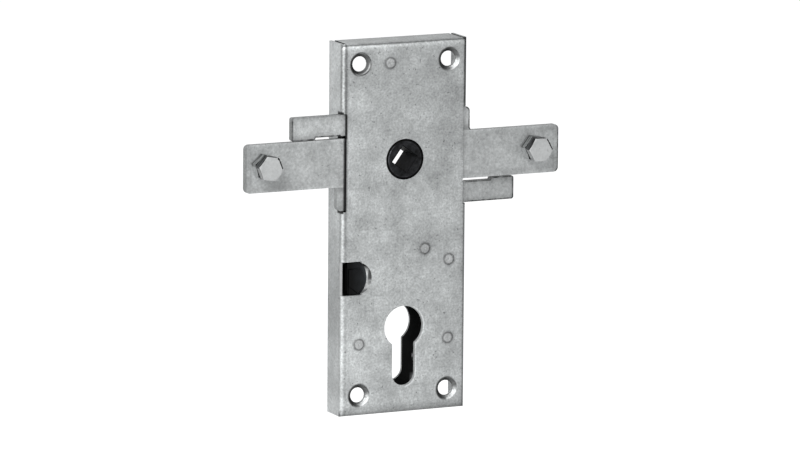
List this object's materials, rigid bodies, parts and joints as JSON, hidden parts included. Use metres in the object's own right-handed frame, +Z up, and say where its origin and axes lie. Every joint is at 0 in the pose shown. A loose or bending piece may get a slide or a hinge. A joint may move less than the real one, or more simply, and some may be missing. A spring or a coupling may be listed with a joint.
{
  "type": "garage door lock",
  "caption": "Case lock for an up-and-over garage door: pressed zinc-plated case, square spindle follower, counter-moving slides and a profile-cylinder cut-out.",
  "frame": {"origin": "centre of the mounting plane at the back of the case", "axes": "+Z up along the case, +Y out of the back into the door, +X to the right seen from the front"},
  "size_m": [0.142, 0.0211, 0.155],
  "materials": {
    "case_zinc": "matt zinc plate with a fine mottle",
    "slide_zinc": "matt zinc plate, lightly rolled",
    "inner_zinc": "matt zinc plate",
    "rivet_zinc": "turned steel, staked",
    "bolt_zinc": "bright zinc plate",
    "spring_steel": "oiled spring wire",
    "black_nylon": "black moulded nylon"
  },
  "bodies": {
    "case": {"front_cover": "case_zinc", "back_plate": "case_zinc", "spacer_posts": "rivet_zinc", "slide_guide": "inner_zinc", "guide_rivets": "rivet_zinc", "follower_spring": "spring_steel", "lever_pivot": "rivet_zinc", "lever_washer": "inner_zinc", "lever_spring": "spring_steel", "spring_post": "rivet_zinc", "cylinder_screw": "bolt_zinc", "screw_bracket": "inner_zinc", "bracket_rivet": "rivet_zinc"},
    "follower": {"follower": "black_nylon"},
    "left_slide": {"left_slide": "slide_zinc", "left_clamp_bolt": "bolt_zinc", "left_lock_nut": "bolt_zinc"},
    "right_slide": {"right_slide": "slide_zinc", "right_clamp_bolt": "bolt_zinc", "right_lock_nut": "bolt_zinc"},
    "locking_lever": {"locking_lever": "inner_zinc", "snib": "black_nylon", "snib_rivets": "rivet_zinc"}
  },
  "joints": [
    {"name": "follower_turn", "type": "hinge", "parent": "case", "child": "follower", "pos_m": [0, -0.0135, 0.0285], "axis": [0, -1, 0], "range_deg": [0, 65], "deforming": ["follower_spring"]},
    {"name": "left_slide_travel", "type": "slide", "parent": "case", "child": "left_slide", "axis": [1, 0, 0], "range_m": [0, 0.01558], "stiffness_N_per_m": 53, "springref_m": -0.0069},
    {"name": "right_slide_travel", "type": "slide", "parent": "case", "child": "right_slide", "axis": [-1, 0, 0], "range_m": [0, 0.0156], "stiffness_N_per_m": 53, "springref_m": -0.0069},
    {"name": "lever_lift", "type": "hinge", "parent": "case", "child": "locking_lever", "pos_m": [0.0095, -0.0113, -0.0094], "axis": [0, 1, 0], "range_deg": [0, 4.5], "stiffness_Nm_per_rad": 0.005, "springref_deg": -17.19, "deforming": ["lever_spring"]}
  ],
  "couplings": [
    {"joint": "right_slide_travel", "follows": "left_slide_travel", "ratio": 1},
    {"joint": "follower_turn", "follows": "left_slide_travel", "rad_per_m": 72.808}
  ]
}
